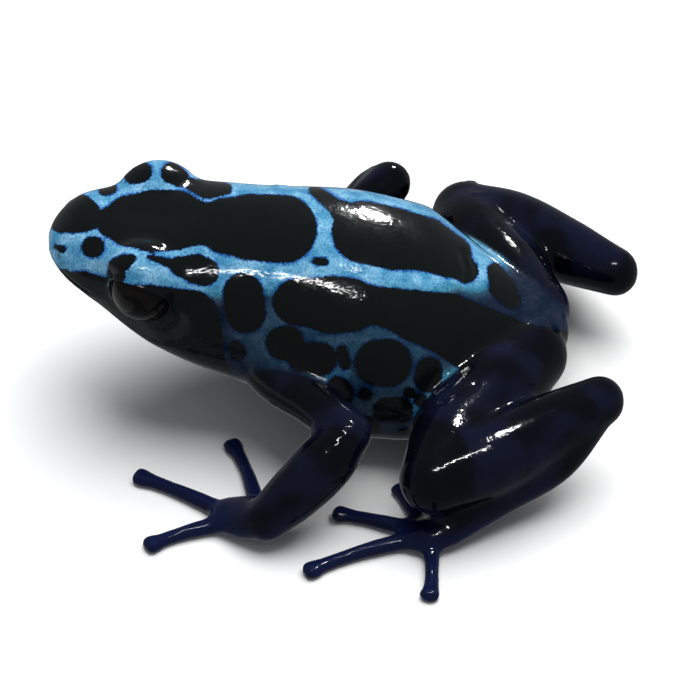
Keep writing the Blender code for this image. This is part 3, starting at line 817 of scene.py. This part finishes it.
# Where the network is bright: partly its own pale colour, partly painted light on the head and back, which
# face up to the lamps; and small places where it is brighter again low on the flank
BRIGHT = {
    "head": ((66, 236, 24), (110, 220, 58), (160, 215, 72), (240, 218, 64)),
    "back": ((240, 218, 64), (330, 222, 56), (430, 236, 45)),
    "sacrum": ((430, 236, 45), (474, 258, 20)),
}
GLOW = {
    "groin": ((452, 382, 9), (460, 378, 7)),
    "groin_low": ((430, 402, 4), (436, 398, 5)),
    "behind_arm": ((334, 374, 5), (341, 374, 5)),
    "belly_line": ((416, 404, 3), (417, 410, 3)),
}
# Where the network is dim low on the flank: partly its own slate colour, partly painted shade on the side
# that turns away from the light
DIM = {"flank": ((262, 330, 16), (300, 345, 22), (345, 365, 34), (400, 370, 42), (440, 375, 26))}
DIM_TONE = 0.36

# Creases of the skin behind the back's last cell and in the groin
FOLDS = {
    "loin": ((462, 252, 0), (467, 268, 0), (466, 284, 0)),
    "loin_rear": ((472, 256, 0), (477, 270, 0), (477, 288, 0)),
    "hip": ((520, 300, 0), (538, 292, 0), (552, 278, 0)),
    "hip_low": ((516, 322, 0), (536, 316, 0), (560, 300, 0)),
    "axilla": ((262, 362, 0), (285, 372, 0), (304, 386, 0)),
    "groin": ((432, 408, 0), (452, 394, 0), (476, 384, 0)),
}


def distance_to_chains(points, chains):
    """Distance to the edge of tapered chains: for each link the distance to its middle line less the
    radius there, and the smallest of all links. Works in the picture and in space alike."""
    nearest = np.full(len(points), 1e3)
    for centres, radii in chains:
        for a, b, ra, rb in zip(centres[:-1], centres[1:], radii[:-1], radii[1:]):
            link = b - a
            t = np.clip(((points - a) @ link) / (link @ link), 0, 1)
            off = np.linalg.norm(points - a - t[:, None] * link, axis=1)
            nearest = np.minimum(nearest, off - (ra + t * (rb - ra)))
    return nearest


def in_picture(table):
    """Chains of circles in the picture."""
    rows = [np.array(chain, float) for chain in table.values()]
    return [(row[:, :2], row[:, 2]) for row in rows]


def on_skin(table, tree):
    """The same chains as balls on the skin: rays from the camera find each circle's place."""
    chains = []
    for centres, radii in in_picture(table):
        hits = []
        for (x, y), radius in zip(centres, radii):
            aside = camera_right * (x - FRAME_PIXELS / 2) - camera_up * (y - FRAME_PIXELS / 2)
            way = Vector(aside / LENS_IN_PIXELS - to_camera).normalized()
            hit = tree.ray_cast(Vector(camera_place), way)[0]
            if hit is not None:
                hits.append((*hit, radius / PIXELS_PER_MM))
        hits = np.array(hits)
        if len(hits) > 1:
            chains.append((hits[:, :3], hits[:, 3]))
    return chains


def slow_waves(points, size, length):
    """A gentle push of points: sums of sines along the three axes."""
    x, y, z = (points * 2 * np.pi / length).T
    push = [np.sin(y + 1.3) + np.sin(z * 1.7), np.sin(z + 0.4) + np.sin(x * 1.3), np.sin(x + 2.1)]
    return points + size * np.stack(push, -1)


def cells_between_seeds(points, spacing, seed):
    """Signed distance to rounded cells: half the difference between the distances to the second nearest
    and the nearest of seeded points, less half a line's width."""
    rng = np.random.default_rng(seed)
    low, high = points.min(0) - spacing, points.max(0) + spacing
    axes = [np.arange(a, b, spacing) for a, b in zip(low, high)]
    seeds = np.stack(np.meshgrid(*axes, indexing="ij"), -1).reshape(-1, 3)
    seeds = seeds + rng.uniform(-0.36, 0.36, seeds.shape) * spacing
    tree = KDTree(len(seeds))
    for i, place in enumerate(seeds):
        tree.insert(place, i)
    tree.balance()
    near = np.array([[found[2] for found in tree.find_n(point, 2)] for point in points])
    return BELLY_LINE / 2 - (near[:, 1] - near[:, 0]) / 2


# %% Lay the cells on the skin
BELLY_SPACING, BELLY_LINE, BELLY_SEED = 3.4, 0.7, 5
TONE_FADE, GLOW_TONE = 2.2, 0.62
MIRROR_WAVES = {"size": 0.35, "length": 9.0}
SEEN_FADE, MIRROR_FADE = (0.04, 0.22), (-0.15, 0.05)
LIMB_FADE, HEAD_FADE, FLOOR_FADE, DIGIT_FADE = (0.3, 0.75), (9.0, 7.0), (5.0, 4.0), (2.8, 1.0)

points, facing = places(skin_mesh), normals(skin_mesh)
faces = [face.vertices[:] for face in skin_mesh.polygons]
tree = BVHTree.FromPolygons([Vector(point) for point in points], faces)
pixels = seen_at(points)
far_points = slow_waves(mirrored(points, RIGHT), **MIRROR_WAVES)
seen = smooth_step(*SEEN_FADE, facing @ to_camera)
seen_mirrored = (1 - seen) * smooth_step(*MIRROR_FADE, mirrored(facing, RIGHT) @ to_camera)
unseen = 1 - seen - seen_mirrored


def from_both_sides(table):
    """Distance to a table's chains in millimetres: in the picture where seen, mirrored elsewhere."""
    near = distance_to_chains(pixels, in_picture(table)) / PIXELS_PER_MM
    far = distance_to_chains(far_points, on_skin(table, tree))
    return near, far


near, far = from_both_sides(CELLS)
hidden = np.flatnonzero(unseen > 0)
below = np.zeros(len(points))
below[hidden] = cells_between_seeds(points[hidden], BELLY_SPACING, BELLY_SEED)
cell = seen * near + seen_mirrored * far + unseen * below

# The network's tone: its own pale and slate blues, with painted light on the upper head and back and painted
# shade low on the flank
tone_and_shade = np.zeros(len(points))
for table, height, reach in (
    (BRIGHT, 1.0, TONE_FADE),
    (GLOW, GLOW_TONE, TONE_FADE / 2),
    (DIM, DIM_TONE, TONE_FADE),
):
    near, far = from_both_sides(table)
    off = seen * near + (1 - seen) * far
    tone_and_shade = np.maximum(tone_and_shade, height * (1 - smooth_step(0, reach, off)))

lid_height = np.full(len(points), 1e3)
for side in (LEFT, RIGHT):
    off = (points - mirrored(LID_PLACE, side)) / np.array(LID_SIZE)
    lid_height = np.minimum(lid_height, (np.linalg.norm(off, axis=1) - 1) * min(LID_SIZE))
limb = smooth_step(*LIMB_FADE, np.minimum(height_off_body(points), lid_height))
limb *= np.maximum(smooth_step(*HEAD_FADE, points[:, 0]), smooth_step(*FLOOR_FADE, points[:, 2]))
digit = smooth_step(*DIGIT_FADE, points[:, 2]) * limb
print("on a limb:", int((limb > 0.5).sum()), "points;", "dim network:", int((tone_and_shade < 0.5).sum()), "points")

# %% [markdown]
# Skin creases where a limb bends and where it runs into the body. The creases on the loin, at the hip,
# behind the arm and in the groin are chains in the picture, laid on the skin as the cells are. Each
# elbow, knee and heel also gets two short creases across its inner side. All of them are shallow
# grooves along the normals: a real fold hangs over, but none is deep enough here to show it.

# %% Folds
FOLD_DEPTH, FOLD_WIDTH = 0.14, 0.3
BEND_REACH, BEND_SPACING = 2.2, 0.5


def unit(vector):
    """The vector's direction."""
    return vector / np.linalg.norm(vector)


def bend_folds(points):
    """Two creases across the inside of each bend of a limb, as shares of the full depth."""
    share = np.zeros(len(points))
    for side in (LEFT, RIGHT):
        for before, joint, after in ((SHOULDER, ELBOW, WRIST), (HIP, KNEE, HEEL), (KNEE, HEEL, ANKLE)):
            a, b, c = (np.array(table[side]) for table in (before, joint, after))
            inside, way = unit(unit(c - b) - unit(b - a)), unit(unit(c - b) + unit(b - a))
            away = points - b
            close = bump(np.linalg.norm(away - 1.5 * inside, axis=1), BEND_REACH)
            for shift in (-BEND_SPACING, BEND_SPACING):
                share += close * bump(away @ way - shift, FOLD_WIDTH)
    return share


near, far = from_both_sides(FOLDS)
fold = seen * bump(near, FOLD_WIDTH) + seen_mirrored * bump(far, FOLD_WIDTH) + bend_folds(points)
points = points - facing * FOLD_DEPTH * np.minimum(fold, 1)[:, None]
points[:, 2] = np.maximum(points[:, 2], 0)

# %% Keep the markings on the skin


def keep(mesh, name, values):
    """Stores one number for each point of the mesh."""
    attribute = mesh.attributes.new(name, "FLOAT", "POINT")
    attribute.data.foreach_set("value", values.astype(np.float32))


for name, values in (("cell", cell), ("tone_and_shade", tone_and_shade), ("limb", limb), ("digit", digit)):
    keep(skin_mesh, name, values)
move_to(skin_mesh, (points + SHIFT) * MM)
skin_mesh.shade_smooth()
FLESH = [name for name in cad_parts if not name.startswith("eye")]
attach(skin, "root")
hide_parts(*FLESH)

# %% [markdown]
# Wet frog skin is finely granular. The same grain shows in the paint, as specks where blue meets black,
# and in the gloss, as a highlight that breaks into ragged streaks. So the grain is one node group with
# a size and a strength, and each material takes its own amount of it. Two scales are added: shallow
# waves, which give a highlight its jagged outline, and fine granules.

# %% Node helpers


def place_node(tree, kind, inputs, **settings):
    """Adds a node: settings are its own choices, inputs are numbers, colours or sockets to link."""
    node = tree.nodes.new(kind)
    for name, value in settings.items():
        setattr(node, name, value)
    for name, value in inputs.items():
        if isinstance(value, bpy.types.NodeSocket):
            tree.links.new(value, node.inputs[name])
        else:
            node.inputs[name].default_value = value
    return node


def calculate(tree, operation, *values):
    """A sum, a product or the like."""
    return place_node(tree, "ShaderNodeMath", dict(enumerate(values)), operation=operation).outputs[0]


def blend(tree, share, a, b, blend_type="MIX"):
    """Mixes two colours."""
    inputs = {0: share, 6: a, 7: b}
    return place_node(tree, "ShaderNodeMix", inputs, data_type="RGBA", blend_type=blend_type).outputs[2]


def ramp(tree, value, stops):
    """A colour ramp with the given stops."""
    node = place_node(tree, "ShaderNodeValToRGB", {"Fac": value})
    elements = node.color_ramp.elements
    while len(elements) < len(stops):
        elements.new(0.5)
    for element, (place, colour) in zip(elements, stops):
        element.position = place
        element.color = (*colour, 1)
    return node.outputs["Color"]


def fade(tree, value, low, high):
    """0 below low, 1 above high, and an S between them."""
    inputs = {"Value": value, "From Min": low, "From Max": high}
    return place_node(tree, "ShaderNodeMapRange", inputs, interpolation_type="SMOOTHSTEP").outputs[0]


def read(tree, name):
    """One of the numbers kept on a mesh."""
    return place_node(tree, "ShaderNodeAttribute", {}, attribute_name=name).outputs["Fac"]


def noise(tree, size, detail=1.0):
    """Smooth noise in space, around a half."""
    place = tree.nodes.new("ShaderNodeTexCoord").outputs["Object"]
    inputs = {"Vector": place, "Scale": size, "Detail": detail}
    return place_node(tree, "ShaderNodeTexNoise", inputs).outputs["Fac"]


# %% Grain
GRANULE_SIZE, WAVE_SHARE = 5200.0, 0.42
GRANULE_DEPTH, WAVE_DEPTH = 0.000005, 0.000022


def grain_group():
    """A group of nodes that gives specks from 0 to 1 and a bumped normal."""
    group = bpy.data.node_groups.new("skin_grain", "ShaderNodeTree")
    for name, kind, way in (
        ("Size", "NodeSocketFloat", "INPUT"),
        ("Granules", "NodeSocketFloat", "INPUT"),
        ("Waves", "NodeSocketFloat", "INPUT"),
        ("Specks", "NodeSocketFloat", "OUTPUT"),
        ("Normal", "NodeSocketVector", "OUTPUT"),
    ):
        group.interface.new_socket(name, in_out=way, socket_type=kind)
    given = group.nodes.new("NodeGroupInput").outputs
    result = group.nodes.new("NodeGroupOutput").inputs
    granules = noise(group, given["Size"], detail=2.0)
    waves = noise(group, calculate(group, "MULTIPLY", given["Size"], WAVE_SHARE))
    inputs = {"Height": waves, "Distance": WAVE_DEPTH, "Strength": given["Waves"]}
    broad = place_node(group, "ShaderNodeBump", inputs).outputs["Normal"]
    inputs = {"Height": granules, "Distance": GRANULE_DEPTH, "Strength": given["Granules"], "Normal": broad}
    relief = place_node(group, "ShaderNodeBump", inputs).outputs["Normal"]
    group.links.new(granules, result["Specks"])
    group.links.new(relief, result["Normal"])
    return group


GRAIN = grain_group()


def add_grain(tree, size, granules, waves):
    """Places the grain group in a material with its own values."""
    inputs = {"Size": size, "Granules": granules, "Waves": waves}
    node = place_node(tree, "ShaderNodeGroup", inputs, node_tree=GRAIN)
    return node.outputs["Specks"], node.outputs["Normal"]


# %% [markdown]
# The paint is mixed from few colours. The network is pale blue on the back, and slate or teal low on the
# flanks: partly its own colour, and partly painted light on the back and painted shade low on the flanks.
# Slow patches shift it between the two, and a deep blue rim borders each cell. The cells are near-black,
# and the limbs are blue-black and turn navy on the digits. The gloss is one sharp layer, like the film of
# water that keeps such a frog wet: water bends light less than glass, so it mirrors its surroundings
# faintly. A little roughness in places keeps the highlights from looking like chrome.

# %% Skin material
# The network's colours by tone: dim slate where shade is painted low on the flank, pale blue where light is
# painted on the back
NETWORK_STOPS = (
    (0.0, (0.007, 0.014, 0.033)),
    (0.35, (0.02, 0.055, 0.1)),
    (0.7, (0.045, 0.21, 0.33)),
    (1.0, (0.13, 0.355, 0.56)),
)
PATCH_STOPS = ((0.34, (0.42, 0.7, 0.8)), (0.5, (0.95, 1.0, 1.0)), (0.66, (1.6, 1.25, 1.15)))
PATCH_SIZE = 620.0
RIM_SHARE = (0.14, 0.36, 0.75, 1)
RIM_NARROW, RIM_WIDE, RIM_WAVES = 0.1, 0.36, 420.0
SPECK_STOPS = ((0.36, (0.3, 0.5, 0.55)), (0.52, (1, 1, 1)), (0.68, (1.25, 1.2, 1.15)))
SPECK_SHARE, FRAY, EDGE_FADE = 0.7, 0.3, (-0.05, 0.09)
CELL_BLACK = (0.0035, 0.0048, 0.005, 1)
LIMB_BLACK, LIMB_NAVY = (0.0012, 0.0018, 0.004, 1), (0.004, 0.0055, 0.018, 1)
DIGIT_NAVY = (0.0045, 0.008, 0.038, 1)
MOTTLE_SIZE, MOTTLE_FADE = 230.0, (0.42, 0.62)
WATER_IOR, SHEEN = 1.34, 0.36
WET_ROUGHNESS, SPECK_ROUGHNESS = 0.045, 0.06
DRY_ROUGHNESS, DRY_SIZE, NOISE_SPAN = 0.05, 330.0, (0.35, 0.65)


def rim_width(tree):
    """How far the deep blue reaches from a cell, in millimetres: it comes and goes along the edge."""
    low, high = NOISE_SPAN
    inputs = {"Value": noise(tree, RIM_WAVES), "From Min": low, "From Max": high}
    inputs.update({"To Min": RIM_NARROW, "To Max": RIM_WIDE})
    return place_node(tree, "ShaderNodeMapRange", inputs).outputs[0]


def wet_material(name):
    """A material under a film of water, with its tree and its shader's inputs."""
    material = bpy.data.materials.new(name)
    material.use_nodes = True
    shader = material.node_tree.nodes["Principled BSDF"].inputs
    shader["IOR"].default_value = WATER_IOR
    shader["Specular IOR Level"].default_value = SHEEN
    return material, material.node_tree, shader


def skin_material():
    """The wet, marked skin."""
    material, tree, shader = wet_material("wet_skin")
    specks, normal = add_grain(tree, GRANULE_SIZE, granules=1.0, waves=1.0)
    frayed = calculate(tree, "MULTIPLY_ADD", specks, FRAY, -FRAY / 2)
    edge = calculate(tree, "ADD", read(tree, "cell"), frayed)
    network = ramp(tree, read(tree, "tone_and_shade"), NETWORK_STOPS)
    network = blend(tree, SPECK_SHARE, network, ramp(tree, specks, SPECK_STOPS), "MULTIPLY")
    network = blend(tree, 1.0, network, ramp(tree, noise(tree, PATCH_SIZE), PATCH_STOPS), "MULTIPLY")
    rim = blend(tree, 1.0, network, RIM_SHARE, "MULTIPLY")
    network = blend(tree, fade(tree, edge, 0.0, rim_width(tree)), rim, network)
    body = blend(tree, fade(tree, edge, *EDGE_FADE), CELL_BLACK, network)
    limbs = blend(tree, fade(tree, noise(tree, MOTTLE_SIZE), *MOTTLE_FADE), LIMB_BLACK, LIMB_NAVY)
    limbs = blend(tree, read(tree, "digit"), limbs, DIGIT_NAVY)
    tree.links.new(blend(tree, read(tree, "limb"), body, limbs), shader["Base Color"])
    tree.links.new(normal, shader["Normal"])
    film = calculate(tree, "MULTIPLY_ADD", specks, SPECK_ROUGHNESS, WET_ROUGHNESS)
    dry = fade(tree, noise(tree, DRY_SIZE), *NOISE_SPAN)
    tree.links.new(calculate(tree, "MULTIPLY_ADD", dry, DRY_ROUGHNESS, film), shader["Roughness"])
    return material


skin_mesh.materials.clear()
skin_mesh.materials.append(skin_material())

# %% [markdown]
# A frog's eyeball is a ball with a clear window that bulges a little in front of the iris. In this
# species iris and pupil are almost the same black, so the eye reads as a dark bead whose gloss gives
# it life. A plain sphere would do from afar; the bulge gives the highlight its place.

# %% Eyes
CORNEA_RISE = 0.12
CORNEA_ANGLE = np.radians(40)
EYE_RINGS, EYE_SIDES = 40, 64
EYE_ROUGHNESS = 0.05
IRIS_STOPS = (
    (0.0, (0.0008, 0.0008, 0.001)),
    (0.13, (0.0008, 0.0008, 0.001)),
    (0.155, (0.006, 0.0045, 0.0035)),
    (0.25, (0.003, 0.0025, 0.0025)),
    (0.31, (0.0008, 0.0008, 0.001)),
)


def eye_mesh(name, side):
    """A ball whose radius grows by a bell curve round the way it looks: r = R + rise exp(-(t/w)^2)."""
    off = np.linspace(0, np.pi, EYE_RINGS + 2)
    turn = np.linspace(0, 2 * np.pi, EYE_SIDES, endpoint=False)
    grid_off, grid_turn = np.meshgrid(off[1:-1], turn, indexing="ij")
    reach = EYE_RADIUS + CORNEA_RISE * bump(grid_off, CORNEA_ANGLE)
    ends = off[[0, -1]]
    poles = from_round_eye(ends, ends, EYE_RADIUS + CORNEA_RISE * bump(ends, CORNEA_ANGLE), side)
    shells.clear()
    closed_shell(from_round_eye(grid_off, grid_turn, reach, side), *poles)
    points, faces = shells[0]
    thing = new_mesh_object(name, (points + SHIFT) * MM, faces)
    keep(thing.data, "off_axis", np.concatenate([grid_off.ravel(), [0, np.pi]]) / np.pi)
    thing.data.shade_smooth()
    return thing


def eye_material():
    """A black pupil in a very dark bronze iris, under a hard clear gloss."""
    material, tree, shader = wet_material("wet_eye")
    tree.links.new(ramp(tree, read(tree, "off_axis"), IRIS_STOPS), shader["Base Color"])
    shader["Roughness"].default_value = EYE_ROUGHNESS
    return material


EYE_MATERIAL = eye_material()
for side, name in ((LEFT, "left"), (RIGHT, "right")):
    eyeball = eye_mesh(f"eyeball_{name}", side)
    eyeball.data.materials.append(EYE_MATERIAL)
    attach(eyeball, "root")
    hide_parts(f"eye_{name}")

# %% [markdown]
# The frog sits on a plain pale floor under soft studio light. One wide light comes from above and
# behind the frog, so its soft shadow falls towards the camera. It is kept out of the gloss, and so is
# the floor, so that black skin stays black. The other lamps do the opposite: they light nothing, and
# show only as sharp highlights on wet skin. A thin strip overhead draws the line along the back. Three
# narrow beams near the frog make the spots on the back, the far lid and the leg, and a glow on the
# floor before the snout shows in the eye and on the lip. One large lamp instead would show on every
# limb at once.

# %% Floor and light
FLOOR_HALF = 1.5
PANEL_DISTANCE, LAMP_DISTANCE = 400.0, 80.0
MIDDLE_OF_BACK, BACK_HIGHLIGHT = (-2.0, 0.0, 8.0), (-5.0, -3.0, 16.0)
FAR_LID, NEAR_LEG = (12.4, -4.0, 17.0), (-15.0, 14.0, 8.8)
GLOW_PLACE = (45.0, 14.0, 0.5)


def floor_piece():
    """A square sheet of floor with a plain matt white finish."""
    corners = np.array([(-1, -1, 0), (1, -1, 0), (1, 1, 0), (-1, 1, 0)], float) * FLOOR_HALF
    thing = new_mesh_object("floor", corners, [(0, 1, 2, 3)])
    material = bpy.data.materials.new("white_floor")
    material.use_nodes = True
    shader = material.node_tree.nodes["Principled BSDF"]
    shader.inputs["Base Color"].default_value = (0.92, 0.92, 0.92, 1)
    shader.inputs["Roughness"].default_value = 0.7
    shader.inputs["Specular IOR Level"].default_value = 0.1
    thing.data.materials.append(material)
    return thing


def way_to(turn, rise):
    """A direction: degrees round from the frog's left towards its snout, and degrees up."""
    turn, rise = np.radians(turn), np.radians(rise)
    return np.array([np.sin(turn) * np.cos(rise), np.cos(turn) * np.cos(rise), np.sin(rise)])


def add_light(name, kind, turn, rise, power, at=MIDDLE_OF_BACK, distance=PANEL_DISTANCE, **settings):
    """A light in a direction and at a distance from a place on the frog, turned to it."""
    light = bpy.data.lights.new(name, kind)
    light.energy = power
    for key, value in settings.items():
        setattr(light, key, value)
    thing = bpy.data.objects.new(name, light)
    bpy.context.scene.collection.objects.link(thing)
    thing.location = (np.array(at) + distance * way_to(turn, rise) + SHIFT) * MM
    thing.rotation_euler = Vector(-way_to(turn, rise)).to_track_quat("-Z", "Y").to_euler()
    return thing


floor = floor_piece()
floor.visible_glossy = False
overhead = add_light("overhead", "SUN", 200, 66, 4.1, angle=np.radians(62))
overhead.visible_glossy = False
top_panel = add_light("top_panel", "AREA", -9, 74, 0.95, shape="RECTANGLE", size=0.15, size_y=0.005)
top_panel.visible_diffuse = False
for name, turn, rise, power, spread, at in (
    ("back_lamp", -167, 24, 0.002, 17, BACK_HIGHLIGHT),
    ("head_lamp", -169, 26, 0.0005, 9, FAR_LID),
    ("leg_lamp", -150, 74, 0.0014, 17, NEAR_LEG),
):
    settings = {"shape": "RECTANGLE", "size": 0.014, "size_y": 0.006, "spread": np.radians(spread)}
    lamp = add_light(name, "AREA", turn, rise, power, at, LAMP_DISTANCE, **settings)
    lamp.visible_diffuse = False
    lamp.visible_camera = False
glow_below = add_light("glow_below", "AREA", 0, 0, 0.0024, shape="ELLIPSE", size=0.05, size_y=0.07)
glow_below.location = (np.array(GLOW_PLACE) + SHIFT) * MM
glow_below.rotation_euler = (np.pi, 0, 0)
glow_below.visible_diffuse = False
glow_below.visible_camera = False

world = bpy.data.worlds.new("world")
bpy.context.scene.world = world
world.use_nodes = True
world.node_tree.nodes["Background"].inputs["Color"].default_value = (0.93, 0.96, 1.0, 1)
world.node_tree.nodes["Background"].inputs["Strength"].default_value = 0.22
bpy.context.scene.view_settings.view_transform = "Standard"

# %% Measure and finish
print("faces of the skin:", sum(len(face.vertices) - 2 for face in skin_mesh.polygons), "triangles")
